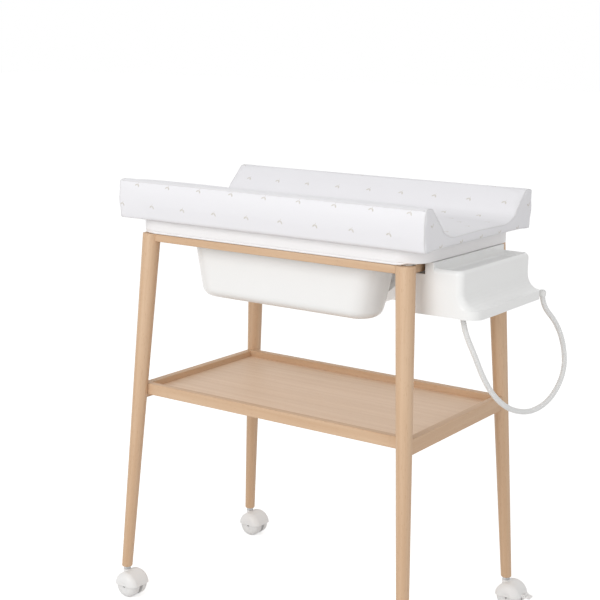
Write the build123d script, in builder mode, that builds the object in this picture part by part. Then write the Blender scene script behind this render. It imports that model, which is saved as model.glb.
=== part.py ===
from build123d import *
import os
from math import atan2, cos, radians, sin, tan

# Changing table with a bathtub under its lid. Splayed turned legs on twin
# wheel casters carry a beech frame, a moulded tub with a tray at its right
# end, a shelf, and a hinged lid with a padded changing mat.
# Lengths are millimetres, X runs along the table, Y away from the user.

# Fits shared by the whole table
seat_gap = 0.2
slip_gap = 0.1
overrun = 1.0

# Legs: the places of their tops, and how far the feet spread beyond these
leg_top_x = 334.0
leg_top_y = 203.0
leg_top_z = 877.0
leg_spread_x = 47.0
leg_spread_y = 43.0
leg_top_radius = 20.75
leg_foot_radius = 12.6
leg_end_round = 2.5

# Top rails and shelf
rail_height = 17.5
rail_thickness = 20.0
rail_round = 2.0
shelf_bottom_z = 486.0
shelf_side_height = 34.0
shelf_front_height = 26.0
shelf_front_lift = 10.0
shelf_rail_thickness = 18.0
shelf_front_inset = 18.0
shelf_panel_thickness = 6.0
shelf_panel_lift = 14.0
shelf_tongue = 5.0
shelf_tongue_thickness = 3.0
dowel_radius = 3.0
dowel_length = 34.0
dowel_start = 6.0

# Lid, which laps over the top rails all round
lid_end_overhang = 27.0
lid_side_overhang = 4.0
lid_height = 28.0
lid_corner = 55.0
lid_wall = 4.0
lid_edge_round = 5.0
lid_foot_round = 2.0
lid_rib_height = 14.0
lid_rib_thickness = 3.0
bumper_radius = 7.0
bumper_height = 2.0
bumper_inset = 13.0

# Changing mat, which laps over the lid
mat_end_overhang = 29.0
mat_side_overhang = 30.0
mat_thickness = 21.0
mat_crown = 2.0
mat_tuck = 5.0
mat_edge_round = 9.0
mat_foot_round = 4.0
bolster_height = 90.0
bolster_top = 34.0
bolster_slope = 52.0
bolster_ease = 44.0
ease_rise_share = 0.3

# Tub: its flange on the rails, its bowl with two foot wells and a back rest
tub_wall = 3.0
flange_thickness = 4.0
flange_margin = 8.0
flange_corner = 12.0
bowl_depth = 140.0
bowl_left_margin = 78.0
bowl_side_margin = 26.0
bowl_left_draft = 18.0
bowl_side_draft = 14.0
bowl_corner = 55.0
bowl_floor_round = 26.0
well_tip_margin = 86.0
well_tip_draft = 38.0
well_side_draft = 3.0
well_tip_flat = 3.0
crotch_round = 16.0
back_half_width = 65.0
back_top_margin = 32.0
back_run = 172.0
back_knee_run = 41.0
back_knee_rise = 18.0
back_knee_round = 60.0

# End of the tub beyond the right legs: a tray over a flared skirt
end_gap = 11.0
end_length = 85.0
end_side_inset = 43.0
end_corner = 16.0
lip_corner = 30.0
end_edge_round = 11.0
skirt_under_rail = 45.0
flare_radius = 35.0
lip_height = 19.0
skirt_height = 97.0
tray_drop = 11.0
tray_depth = 14.0
tray_step = 19.0
tray_margin = 7.0
tray_corner = 12.0
tray_floor_round = 6.0
hook_drop = 36.0

# Drain
drain_tip_margin = 48.0
drain_side_margin = 53.0
drain_flange_radius = 22.0
drain_flange_thickness = 2.0
drain_pipe_radius = 14.0
drain_bore_radius = 11.5
drain_pipe_length = 19.0
drain_seal_thickness = 1.0
drain_nut_radius = 21.0
drain_nut_height = 7.0
drain_bar = 2.0
plug_neck_radius = 11.1
plug_neck_length = 7.0
plug_rim_radius = 16.0
plug_rim_thickness = 2.0
plug_stem_radius = 3.0
plug_stem_length = 6.0
plug_knob_radius = 5.0
elbow_radius = 17.0
elbow_height = 18.0
elbow_wall = 2.0
spigot_radius = 4.2
spigot_bore_radius = 2.8
spigot_length = 16.0

# Hose, and its clip at the rear corner of the tub's lip
hose_radius = 6.0
hose_bore_radius = 4.5
clip_width = 10.0
clip_wall = 2.5
clip_inset = 3.0

# Hinges
hinge_inset = 84.0
hinge_length = 50.0
hinge_leaf = 2.0
hinge_knuckle_radius = 4.0
hinge_pin_radius = 2.0
hinge_fit = 0.05
hinge_knuckle_length = 15.0
hinge_play = 0.3
hinge_rise = 3.0
hinge_fixed_drop = 15.0
hinge_moving_rise = 22.0
screw_radius = 1.75
screw_head_radius = 3.4
screw_head_height = 1.8
screw_length = 11.0
screw_spread = 15.0

# Casters
wheel_radius = 29.0
wheel_inner_y = 6.0
wheel_tread = 12.0
wheel_dome = 10.0
wheel_hub_radius = 9.0
dome_bulge_share = 0.75
wheel_axle_fit = 0.06
axle_radius = 3.0
axle_reach = 23.0
hood_gap = 1.5
hood_wall = 2.5
hood_web = 11.0
hood_offset = 15.0
hood_boss_radius = 9.0
hood_boss_rise = 1.0
hood_skirt_rise = 3.0
hood_hub_radius = 9.0
stem_radius = 5.0
stem_pin_radius = 3.0
stem_collar_radius = 8.5
stem_collar_height = 6.5
stem_collar_gap = 0.5
stem_insert = 35.0
stem_pin_depth = 19.0
stem_fit = 0.05
lever_width = 20.0
lever_barrel = 14.0
lever_barrel_radius = 3.0
lever_pin_radius = 1.5
lever_fit = 0.05
lever_pivot_rise = 6.0
lever_ear_radius = 4.0
lever_ear_thickness = 3.0
lever_pedal_reach = 14.0
lever_shoe_gap = 2.8
lever_shoe_drop = 10.0
lever_shoe_clear = 1.8
lever_neck = 1.0

corners = {
    "front_left": (-1, -1),
    "front_right": (1, -1),
    "rear_left": (-1, 1),
    "rear_right": (1, 1),
}
brake_corners = ("front_right", "rear_right")

# Heights from the floor up to the leg ends
hub_z = wheel_radius
hood_inner = wheel_radius + hood_gap
hood_outer = hood_inner + hood_wall
hood_top_z = hub_z + hood_outer + hood_boss_rise
leg_foot_z = hood_top_z + stem_collar_gap + stem_collar_height

# Reach of the frame, the lid, the mat and the tub's end from the legs' middle
rail_end_x = leg_top_x + rail_thickness / 2
rail_side_y = leg_top_y + rail_thickness / 2
lid_half_length = rail_end_x + lid_end_overhang
lid_half_width = rail_side_y + lid_side_overhang
mat_half_length = lid_half_length + mat_end_overhang
mat_half = lid_half_width + mat_side_overhang
end_start = rail_end_x + end_gap
end_reach = end_start + end_length
lip_reach = end_reach + flare_radius

# The whole table is centred between the mat's left end and the tub's lip
frame_x = (mat_half_length - lip_reach) / 2

os.makedirs("parts", exist_ok=True)


def save(part, name):
    part.label = name
    export_step(part, "parts/" + name + ".step")


# Places on the legs
def leg_place(z):
    share = (leg_top_z - z) / (leg_top_z - leg_foot_z)
    return leg_top_x + leg_spread_x * share, leg_top_y + leg_spread_y * share


def leg_plane(side, depth, z):
    reach_x, reach_y = leg_place(z)
    return Plane(origin=(frame_x + side * reach_x, depth * reach_y, z))


def leg_form(side, depth, gap):
    with BuildPart() as form:
        with BuildSketch(leg_plane(side, depth, leg_foot_z)):
            Circle(leg_foot_radius + gap)
        with BuildSketch(leg_plane(side, depth, leg_top_z)):
            Circle(leg_top_radius + gap)
        loft()
    return form.part


leg_spaces = [leg_form(side, depth, seat_gap) for side, depth in corners.values()]

# Dowels: each is a plane at its start with its normal along the dowel
rail_mid_z = leg_top_z - rail_height / 2
shelf_side_mid_z = shelf_bottom_z + shelf_side_height / 2
shelf_front_bottom_z = shelf_bottom_z + shelf_front_lift
shelf_front_mid_z = shelf_front_bottom_z + shelf_front_height / 2
shelf_side_x, shelf_leg_y = leg_place(shelf_side_mid_z)
shelf_front_y = shelf_leg_y - shelf_front_inset
shelf_half_length = shelf_side_x - shelf_rail_thickness / 2
shelf_half_width = shelf_front_y - shelf_rail_thickness / 2
dowel_planes = []
for side, depth in corners.values():
    top_x = frame_x + side * (leg_top_x - dowel_start)
    top_y = depth * (leg_top_y - dowel_start)
    dowel_planes.append(Plane(origin=(top_x, depth * leg_top_y, rail_mid_z), z_dir=(-side, 0, 0)))
    dowel_planes.append(Plane(
        origin=(frame_x + side * leg_top_x, top_y, rail_mid_z), z_dir=(0, -depth, 0)))
    dowel_planes.append(Plane(
        origin=(frame_x + side * shelf_side_x, depth * (shelf_leg_y - dowel_start), shelf_side_mid_z),
        z_dir=(0, -depth, 0)))
    dowel_planes.append(Plane(
        origin=(frame_x + side * (shelf_half_length + dowel_start), depth * shelf_front_y,
                shelf_front_mid_z),
        z_dir=(-side, 0, 0)))


def dowel_set(radius, end_gap):
    with BuildPart() as dowels:
        for place in dowel_planes:
            with BuildSketch(place.offset(-end_gap)):
                Circle(radius)
            extrude(amount=dowel_length + 2 * end_gap)
    return dowels.part


dowel_bores = dowel_set(dowel_radius + slip_gap, slip_gap)
save(dowel_set(dowel_radius, 0), "rail_dowels")

# Four tapered legs, round at the foot, bored for the caster stems
for name, (side, depth) in corners.items():
    with BuildPart() as leg:
        add(leg_form(side, depth, 0))
        fillet(leg.edges().group_by(Axis.Z)[0], leg_end_round)
        with BuildSketch(leg_plane(side, depth, leg_foot_z)):
            Circle(stem_radius + slip_gap)
        extrude(amount=stem_insert + slip_gap, mode=Mode.SUBTRACT)
        add(dowel_bores, mode=Mode.SUBTRACT)
    save(leg.part, "leg_" + name)

# Heights of the rim and the lid, and the places of the hinge screws
rim_z = leg_top_z + flange_thickness
lid_bottom_z = rim_z + bumper_height
lid_top_z = lid_bottom_z + lid_height
pin_y = lid_half_width + hinge_knuckle_radius
pin_z = lid_bottom_z - hinge_rise
web_top_z = pin_z - hinge_knuckle_radius + hinge_leaf
plate_bottom_z = web_top_z - hinge_fixed_drop
leaf_bottom_z = lid_bottom_z + hinge_leaf
leaf_top_z = leaf_bottom_z + hinge_moving_rise
rail_screw_z = (plate_bottom_z + web_top_z) / 2
lid_screw_z = (leaf_bottom_z + leaf_top_z) / 2
hinge_x = leg_top_x - hinge_inset
hinge_places = (-hinge_x, hinge_x)


def screw_bars(face_y, mid_z, radius, length):
    """Round bars at the hinge screws' places, running forward from one face."""
    with BuildPart() as bars:
        with BuildSketch(Plane(origin=(frame_x, face_y, mid_z), z_dir=(0, -1, 0),
                               x_dir=(1, 0, 0))):
            for x in hinge_places:
                with Locations((x, 0)):
                    with GridLocations(2 * screw_spread, 0, 2, 1):
                        Circle(radius)
        extrude(amount=length)
    return bars.part


rail_leaf_y = rail_side_y + hinge_leaf
lid_leaf_y = lid_half_width + hinge_leaf
lid_screw_length = hinge_leaf + lid_wall
rail_screw_bores = screw_bars(
    rail_leaf_y, rail_screw_z, screw_radius + slip_gap, screw_length + slip_gap)
lid_screw_bores = screw_bars(
    lid_leaf_y, lid_screw_z, screw_radius + slip_gap, lid_screw_length + slip_gap)

# Four top rails between the legs, coped to them
for name, depth in (("front", -1), ("rear", 1)):
    with BuildPart() as rail:
        with BuildSketch(Plane.YZ.offset(frame_x)):
            with Locations((depth * leg_top_y, rail_mid_z)):
                RectangleRounded(rail_thickness, rail_height, rail_round)
        extrude(amount=leg_top_x, both=True)
        for space in leg_spaces:
            add(space, mode=Mode.SUBTRACT)
        add(dowel_bores, mode=Mode.SUBTRACT)
        add(rail_screw_bores, mode=Mode.SUBTRACT)
    save(rail.part, "top_rail_" + name)

for name, side in (("left", -1), ("right", 1)):
    with BuildPart() as rail:
        with BuildSketch(Plane.XZ):
            with Locations((frame_x + side * leg_top_x, rail_mid_z)):
                RectangleRounded(rail_thickness, rail_height, rail_round)
        extrude(amount=leg_top_y, both=True)
        for space in leg_spaces:
            add(space, mode=Mode.SUBTRACT)
        add(dowel_bores, mode=Mode.SUBTRACT)
    save(rail.part, "top_rail_" + name)

# Shelf: side rails between the legs, front and rear rails between those,
# and a panel whose thin tongues lie in grooves in all four
panel_bottom_z = shelf_bottom_z + shelf_panel_lift


def panel_form(gap):
    with BuildPart() as form:
        with BuildSketch(Plane.XY.offset(panel_bottom_z - gap)):
            with Locations((frame_x, 0)):
                Rectangle(2 * (shelf_half_length + shelf_tongue + gap),
                          2 * (shelf_half_width + shelf_tongue + gap))
        extrude(amount=shelf_tongue_thickness + 2 * gap)
        with BuildSketch(Plane.XY.offset(panel_bottom_z)):
            with Locations((frame_x, 0)):
                Rectangle(2 * (shelf_half_length - seat_gap), 2 * (shelf_half_width - seat_gap))
        extrude(amount=shelf_panel_thickness)
    return form.part


panel_space = panel_form(slip_gap)
save(panel_form(0), "shelf_panel")

for name, side in (("left", -1), ("right", 1)):
    with BuildPart() as rail:
        with BuildSketch(Plane.XZ):
            with Locations((frame_x + side * shelf_side_x, shelf_side_mid_z)):
                RectangleRounded(shelf_rail_thickness, shelf_side_height, rail_round)
        extrude(amount=shelf_leg_y, both=True)
        for space in leg_spaces:
            add(space, mode=Mode.SUBTRACT)
        add(panel_space, mode=Mode.SUBTRACT)
        add(dowel_bores, mode=Mode.SUBTRACT)
    save(rail.part, "shelf_rail_" + name)

for name, depth in (("front", -1), ("rear", 1)):
    with BuildPart() as rail:
        with BuildSketch(Plane.YZ.offset(frame_x)):
            with Locations((depth * shelf_front_y, shelf_front_mid_z)):
                RectangleRounded(shelf_rail_thickness, shelf_front_height, rail_round)
        extrude(amount=shelf_half_length - slip_gap, both=True)
        for space in leg_spaces:
            add(space, mode=Mode.SUBTRACT)
        add(panel_space, mode=Mode.SUBTRACT)
        add(dowel_bores, mode=Mode.SUBTRACT)
    save(rail.part, "shelf_rail_" + name)

# Tub bowl: a drafted trough with two rounded foot wells at its right end and
# a sloping back rest between them. An inset of one wall gives its inside.
flange_left = rail_end_x - flange_margin
flange_half = rail_side_y - flange_margin
bowl_floor_z = leg_top_z - bowl_depth
bowl_left_top = flange_left - bowl_left_margin
bowl_left_floor = bowl_left_top - bowl_left_draft
bowl_half_top = flange_half - bowl_side_margin
bowl_half_floor = bowl_half_top - bowl_side_draft
well_tip_top = rail_end_x - well_tip_margin
well_tip_floor = well_tip_top - well_tip_draft
well_side_floor = back_half_width - well_side_draft
well_radius = (bowl_half_floor - well_side_floor - well_tip_flat) / 2
back_top_x = rail_end_x - back_top_margin
crotch_x = back_top_x - back_run
drain_x = well_tip_floor - drain_tip_margin
drain_y = bowl_half_floor - drain_side_margin
knee_x = crotch_x + back_knee_run
knee_z = bowl_floor_z + back_knee_rise
back_slope = atan2(leg_top_z - knee_z, back_top_x - knee_x)


def back_space(inset, half_y):
    """The space over the sloping back rest in one wall's inset."""
    shift_x = frame_x - inset * sin(back_slope)
    with BuildPart() as space:
        with BuildSketch(Plane.XZ):
            with BuildLine():
                FilletPolyline(
                    (shift_x + crotch_x, rim_z),
                    (shift_x + crotch_x - bowl_floor_round, rim_z),
                    (shift_x + crotch_x - bowl_floor_round, bowl_floor_z + inset),
                    (shift_x + crotch_x, bowl_floor_z + inset),
                    (shift_x + knee_x, knee_z + inset),
                    (shift_x + back_top_x, leg_top_z + inset),
                    (shift_x + back_top_x + flange_thickness, rim_z),
                    radius=[0, 0, 0, 0, back_knee_round, 0, 0], close=True)
            make_face()
        extrude(amount=half_y, both=True)
    return space.part


def well_mouths(inset):
    """Where that space opens sideways into the wells, up to where their tips curve away."""
    tip_end_x = frame_x + rail_end_x
    with BuildPart() as mouths:
        add(back_space(inset, back_half_width + tub_wall))
        with BuildSketch(Plane.XZ):
            with BuildLine():
                Polyline(
                    (frame_x + well_tip_floor - well_radius, bowl_floor_z + inset),
                    (frame_x + well_tip_top - well_radius, rim_z),
                    (tip_end_x, rim_z), (tip_end_x, bowl_floor_z + inset), close=True)
            make_face()
        extrude(amount=back_half_width + 2 * tub_wall, both=True, mode=Mode.SUBTRACT)
    return mouths.part


def bowl_form(inset):
    """The bowl in one wall's inset, lofted from its floor outline to its rim outline."""
    levels = (
        (bowl_floor_z + inset, bowl_left_floor, well_tip_floor, bowl_half_floor, well_side_floor),
        (rim_z, bowl_left_top, well_tip_top, bowl_half_top, back_half_width),
    )
    with BuildPart() as form:
        for z, left, tip, half, inner in levels:
            low_x = frame_x - left + inset
            inner_x = frame_x + crotch_x - inset
            tip_x = frame_x + tip - inset
            half_y = half - inset
            inner_y = inner + inset
            with BuildSketch(Plane.XY.offset(z)):
                with BuildLine():
                    FilletPolyline(
                        (low_x, -half_y), (tip_x, -half_y), (tip_x, -inner_y),
                        (inner_x, -inner_y), (inner_x, inner_y), (tip_x, inner_y),
                        (tip_x, half_y), (low_x, half_y),
                        radius=[bowl_corner - inset, well_radius - inset, well_radius - inset,
                                crotch_round + inset, crotch_round + inset,
                                well_radius - inset, well_radius - inset, bowl_corner - inset],
                        close=True)
                make_face()
        loft()
        fillet(form.edges().group_by(Axis.Z)[0], bowl_floor_round - inset)
        add(back_space(inset, back_half_width + tub_wall - inset))
        if inset:
            add(well_mouths(inset))
    return form.part


# Right end of the tub: a skirt flared to a lip, below a tray
end_half_width = leg_top_y - end_side_inset
skirt_start = end_start - skirt_under_rail
tray_start = end_start + tray_step
tray_rim_z = rim_z - tray_drop
tray_floor_z = tray_rim_z - tray_depth
lip_bottom_z = tray_rim_z - skirt_height
flare_top_z = lip_bottom_z + lip_height + flare_radius
flare_shares = (1, 0.86, 0.72, 0.58, 0.44, 0.3, 0.15, 0)


def end_form(start, top_z, inset):
    """The skirt in one wall's inset; its outer corners widen down to the lip's."""
    radius = flare_radius + inset
    sections = [(lip_bottom_z, lip_reach - inset)]
    for share in flare_shares:
        turn = radians(90 * share)
        reach = min(lip_reach - radius * cos(turn), lip_reach - inset)
        sections.append((flare_top_z - radius * sin(turn), reach))
    sections.append((top_z, end_reach - inset))
    half_y = end_half_width - inset
    with BuildPart() as form:
        for z, reach in sections:
            flared_share = (reach + inset - end_reach) / (lip_reach - end_reach)
            corner = end_corner + (lip_corner - end_corner) * flared_share - inset
            with BuildSketch(Plane.XY.offset(z)):
                with BuildLine():
                    FilletPolyline(
                        (frame_x + start, -half_y), (frame_x + reach, -half_y),
                        (frame_x + reach, half_y), (frame_x + start, half_y),
                        radius=[0, corner, corner, 0], close=True)
                make_face()
        loft(ruled=True)
    return form.part


with BuildPart() as tub:
    with BuildSketch(Plane.XY.offset(leg_top_z)):
        with Locations((frame_x + (rail_end_x - flange_left) / 2, 0)):
            RectangleRounded(rail_end_x + flange_left, 2 * flange_half, flange_corner)
        with Locations((frame_x + (rail_end_x + end_start) / 2 - flange_corner / 2, 0)):
            Rectangle(end_start - rail_end_x + flange_corner, 2 * end_half_width)
    extrude(amount=flange_thickness)
    add(bowl_form(0))
    add(bowl_form(tub_wall), mode=Mode.SUBTRACT)
    with BuildSketch(Plane.XY.offset(bowl_floor_z)):
        with Locations((frame_x + drain_x, drain_y)):
            Circle(drain_pipe_radius + slip_gap)
    extrude(amount=tub_wall, mode=Mode.SUBTRACT)
save(tub.part, "tub")

# The tray and its skirt hook on the tub's flange behind the right rail
with BuildPart() as tub_end:
    add(end_form(skirt_start, tray_rim_z, 0))
    outer_edges = tub_end.edges().group_by(Axis.Z)[-1].filter_by(
        lambda edge: edge.center().X > frame_x + end_start + end_corner)
    fillet(outer_edges, end_edge_round)
    with BuildSketch(Plane.XY.offset(tray_floor_z)):
        with Locations((frame_x + (skirt_start + end_start) / 2, 0)):
            Rectangle(end_start - skirt_start, 2 * end_half_width)
    extrude(amount=rim_z - tray_floor_z, mode=Mode.SUBTRACT)
    with BuildSketch(Plane.XY.offset(tray_floor_z)):
        with Locations((frame_x + (end_start + tray_start) / 2, 0)):
            Rectangle(tray_start - end_start, 2 * end_half_width)
    extrude(amount=rim_z - tray_floor_z)
    with BuildPart(mode=Mode.SUBTRACT):
        tray_length = end_reach - tray_margin - tray_start
        with BuildSketch(Plane.XY.offset(tray_floor_z)):
            with Locations((frame_x + tray_start + tray_length / 2, 0)):
                RectangleRounded(tray_length, 2 * (end_half_width - tray_margin), tray_corner)
        pocket = extrude(amount=tray_depth + overrun)
        fillet(pocket.edges().group_by(Axis.Z)[0], tray_floor_round)
    add(end_form(skirt_start - overrun, tray_floor_z - tub_wall, tub_wall), mode=Mode.SUBTRACT)
    with BuildSketch(Plane.XY.offset(rim_z - hook_drop)):
        with Locations((frame_x + end_start + tub_wall / 2, 0)):
            Rectangle(tub_wall, 2 * (end_half_width - tub_wall))
    extrude(amount=hook_drop - overrun)
save(tub_end.part, "tub_end")

# Drain: seal, flanged body with a cross grid, nut, elbow with its spigot
drain_at = Plane(origin=(frame_x + drain_x, drain_y, 0))
seal_z = bowl_floor_z + tub_wall
drain_top_z = seal_z + drain_seal_thickness + drain_flange_thickness
pipe_bottom_z = drain_top_z - drain_pipe_length

with BuildPart() as drain_seal:
    with BuildSketch(drain_at.offset(seal_z)):
        Circle(drain_flange_radius)
        Circle(drain_pipe_radius + slip_gap, mode=Mode.SUBTRACT)
    extrude(amount=drain_seal_thickness)
save(drain_seal.part, "drain_seal")

with BuildPart() as drain_body:
    with BuildSketch(drain_at.offset(drain_top_z)):
        Circle(drain_flange_radius)
    extrude(amount=-drain_flange_thickness)
    fillet(drain_body.edges().group_by(Axis.Z)[-1], drain_flange_thickness / 2)
    with BuildSketch(drain_at.offset(pipe_bottom_z)):
        Circle(drain_pipe_radius)
    extrude(amount=drain_pipe_length - drain_flange_thickness)
    with BuildSketch(drain_at.offset(pipe_bottom_z)):
        Circle(drain_bore_radius)
        Rectangle(2 * drain_pipe_radius, drain_bar, mode=Mode.SUBTRACT)
        Rectangle(drain_bar, 2 * drain_pipe_radius, mode=Mode.SUBTRACT)
    extrude(amount=drain_bar, mode=Mode.SUBTRACT)
    with BuildSketch(drain_at.offset(pipe_bottom_z + drain_bar)):
        Circle(drain_bore_radius)
    extrude(amount=drain_pipe_length, mode=Mode.SUBTRACT)
save(drain_body.part, "drain_body")

with BuildPart() as drain_nut:
    with BuildSketch(drain_at.offset(bowl_floor_z)):
        RegularPolygon(drain_nut_radius, 6)
        Circle(drain_pipe_radius + slip_gap, mode=Mode.SUBTRACT)
    extrude(amount=-drain_nut_height)
save(drain_nut.part, "drain_nut")

elbow_top_z = bowl_floor_z - drain_nut_height
elbow_bottom_z = elbow_top_z - elbow_height
spigot_z = (elbow_bottom_z + pipe_bottom_z) / 2
spigot_start = drain_x + elbow_radius - elbow_wall
spigot_plane = Plane(origin=(frame_x + spigot_start, drain_y, spigot_z), z_dir=(1, 0, 0))
with BuildPart() as drain_elbow:
    with BuildSketch(drain_at.offset(elbow_bottom_z)):
        Circle(elbow_radius)
    extrude(amount=elbow_height)
    fillet(drain_elbow.edges().group_by(Axis.Z)[0], elbow_wall)
    with BuildSketch(spigot_plane):
        Circle(spigot_radius)
    extrude(amount=spigot_length + elbow_wall)
    with BuildSketch(drain_at.offset(elbow_bottom_z + elbow_wall)):
        Circle(drain_bore_radius)
    extrude(amount=elbow_height, mode=Mode.SUBTRACT)
    with BuildSketch(drain_at.offset(pipe_bottom_z - slip_gap)):
        Circle(drain_pipe_radius + slip_gap)
    extrude(amount=elbow_height, mode=Mode.SUBTRACT)
    with BuildSketch(spigot_plane.offset(-drain_bore_radius / 2)):
        Circle(spigot_bore_radius)
    extrude(amount=drain_bore_radius + spigot_length, mode=Mode.SUBTRACT)
save(drain_elbow.part, "drain_elbow")

# Plug with a pull knob, turned about the drain's axis
plug_rim_z = drain_top_z + slip_gap
with BuildPart() as drain_plug:
    with BuildSketch(Plane.XZ):
        with BuildLine():
            Polyline(
                (0, plug_rim_z - plug_neck_length),
                (plug_neck_radius - slip_gap, plug_rim_z - plug_neck_length),
                (plug_neck_radius, plug_rim_z),
                (plug_rim_radius, plug_rim_z),
                (plug_rim_radius - plug_rim_thickness / 2, plug_rim_z + plug_rim_thickness),
                (plug_stem_radius, plug_rim_z + plug_rim_thickness),
                (plug_stem_radius, plug_rim_z + plug_rim_thickness + plug_stem_length),
                (0, plug_rim_z + plug_rim_thickness + plug_stem_length), close=True)
        make_face()
        with Locations((0, plug_rim_z + plug_rim_thickness + plug_stem_length)):
            Circle(plug_knob_radius)
        with Locations((-plug_rim_radius, plug_rim_z)):
            Rectangle(2 * plug_rim_radius, 2 * plug_rim_radius + 2 * plug_neck_length,
                      mode=Mode.SUBTRACT)
    revolve(axis=Axis.Z)
save(Pos(frame_x + drain_x, drain_y, 0) * drain_plug.part, "drain_plug")

# Hose from the spigot through the end of the tub, down in a loop and up to
# the clip; its points were chosen by hand along the photographed bend
hose_points = [
    (151.5, 112, 718),
    (196, 112, 718),
    (236, 98, 732),
    (262, 62, 750),
    (268, 14, 768),
    (266, -36, 788),
    (280, -80, 810),
    (312, -106, 826),
    (350, -114, 822),
    (374, -118, 800),
    (386, -120, 768),
    (391, -113, 732),
    (402, -90, 685),
    (410, -62, 632),
    (420, -24, 584),
    (431, 36, 544),
    (443, 120, 523),
    (454, 198, 540),
    (461, 243, 592),
    (460, 236, 652),
    (451, 208, 710),
    (434.5, 157, 749),
    (434.5, 157, 790),
]
hose_run_share = 0.45


def hose_radii(points):
    radii = []
    for before, here, after in zip(points, points[1:], points[2:]):
        arriving = Vector(*here) - Vector(*before)
        leaving = Vector(*after) - Vector(*here)
        half_turn = radians(arriving.get_angle(leaving)) / 2
        radii.append(hose_run_share * min(arriving.length, leaving.length) / tan(half_turn))
    return radii


bend_radii = hose_radii(hose_points)
print("hose bend radii", [round(radius) for radius in bend_radii])
with BuildPart() as hose:
    with BuildLine() as hose_path:
        FilletPolyline(*hose_points, radius=bend_radii)
    hose_start = hose_path.wire() @ 0
    hose_heading = hose_path.wire() % 0
    with BuildSketch(Plane(origin=hose_start, z_dir=hose_heading)):
        Circle(hose_radius)
        Circle(hose_bore_radius, mode=Mode.SUBTRACT)
    sweep(path=hose_path.wire())
hose_length = hose_path.wire().length
hose_section = hose.part.volume / hose_length
print("hose length", round(hose_length, 1), "section", round(hose_section, 2))
save(hose.part, "drain_hose")

# Clip that holds the hose's free end against the rounded corner of the lip
clip_mid_z = lip_bottom_z + lip_height / 2
clip_x = frame_x + lip_reach - clip_inset
clip_y = end_half_width - clip_inset
with BuildPart() as hose_clip:
    with BuildSketch(Plane.XY.offset(clip_mid_z - clip_width / 2)):
        with Locations((clip_x, clip_y)):
            Circle(hose_radius + slip_gap + clip_wall)
    extrude(amount=clip_width)
    with BuildSketch(Plane.XY.offset(clip_mid_z - clip_width / 2)):
        with Locations((clip_x, clip_y)):
            Circle(hose_radius + slip_gap)
    extrude(amount=clip_width, mode=Mode.SUBTRACT)
    add(tub_end.part, mode=Mode.SUBTRACT)
save(hose_clip.part, "hose_clip")

# Lid: a shallow moulded tray turned upside down, ribbed inside
lid_inner_x = lid_half_length - lid_wall
lid_inner_y = lid_half_width - lid_wall
bumper_x = flange_left - bumper_inset
bumper_y = flange_half - bumper_inset
with BuildPart() as lid:
    with BuildSketch(Plane.XY.offset(lid_bottom_z)):
        with Locations((frame_x, 0)):
            RectangleRounded(2 * lid_half_length, 2 * lid_half_width, lid_corner)
    extrude(amount=lid_height)
    fillet(lid.edges().group_by(Axis.Z)[-1], lid_edge_round)
    fillet(lid.edges().group_by(Axis.Z)[0], lid_foot_round)
    with BuildSketch(Plane.XY.offset(lid_bottom_z)):
        with Locations((frame_x, 0)):
            RectangleRounded(2 * lid_inner_x, 2 * lid_inner_y, lid_corner - lid_wall)
    extrude(amount=lid_height - lid_wall, mode=Mode.SUBTRACT)
    with BuildSketch(Plane.XY.offset(lid_top_z - lid_wall - lid_rib_height)):
        with Locations((frame_x, 0)):
            with GridLocations(0, lid_half_width / 2, 1, 3):
                Rectangle(2 * lid_inner_x, lid_rib_thickness)
            with GridLocations(lid_half_length / 3, 0, 5, 1):
                Rectangle(lid_rib_thickness, 2 * lid_inner_y)
    extrude(amount=lid_rib_height)
    with BuildSketch(Plane.XY.offset(lid_bottom_z)):
        with Locations((frame_x, 0)):
            with GridLocations(2 * bumper_x, 2 * bumper_y, 2, 2):
                Circle(bumper_radius + lid_rib_thickness)
    extrude(amount=lid_height - lid_wall)
    add(lid_screw_bores, mode=Mode.SUBTRACT)
save(lid.part, "lid")

with BuildPart() as lid_bumpers:
    with BuildSketch(Plane.XY.offset(lid_bottom_z)):
        with Locations((frame_x, 0)):
            with GridLocations(2 * bumper_x, 2 * bumper_y, 2, 2):
                Circle(bumper_radius)
    extrude(amount=-(bumper_height - seat_gap))
save(lid_bumpers.part, "lid_bumpers")

# Hinges along the rear: fixed leaves on the rear rail, moving ones on the lid
pin_plane = Plane(origin=(frame_x, pin_y, pin_z), z_dir=(1, 0, 0))
outer_knuckle_x = hinge_length / 2 - hinge_knuckle_length / 2
inner_knuckle = hinge_length / 2 - hinge_knuckle_length - hinge_play


def hinge_bar(x, length, low_y, high_y, low_z, high_z):
    """A flat bar of a hinge leaf, centred on x along the table."""
    with BuildPart() as bar:
        with BuildSketch(Plane.YZ.offset(frame_x + x - length / 2)):
            with Locations(((low_y + high_y) / 2, (low_z + high_z) / 2)):
                Rectangle(high_y - low_y, high_z - low_z)
        extrude(amount=length)
    return bar.part


def knuckle(x, length, radius):
    with BuildPart() as barrel:
        with BuildSketch(pin_plane.offset(x - length / 2)):
            Circle(radius)
        extrude(amount=length)
    return barrel.part


with BuildPart() as fixed_leaves:
    for x in hinge_places:
        add(hinge_bar(x, hinge_length, rail_side_y, rail_side_y + hinge_leaf,
                      plate_bottom_z, web_top_z))
        for knuckle_x in (x - outer_knuckle_x, x + outer_knuckle_x):
            add(hinge_bar(knuckle_x, hinge_knuckle_length, rail_side_y, pin_y,
                          web_top_z - hinge_leaf, web_top_z))
            add(knuckle(knuckle_x, hinge_knuckle_length, hinge_knuckle_radius))
        add(knuckle(x, 2 * hinge_length, hinge_pin_radius + hinge_fit), mode=Mode.SUBTRACT)
    add(rail_screw_bores, mode=Mode.SUBTRACT)
save(fixed_leaves.part, "hinge_fixed_leaves")

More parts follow.
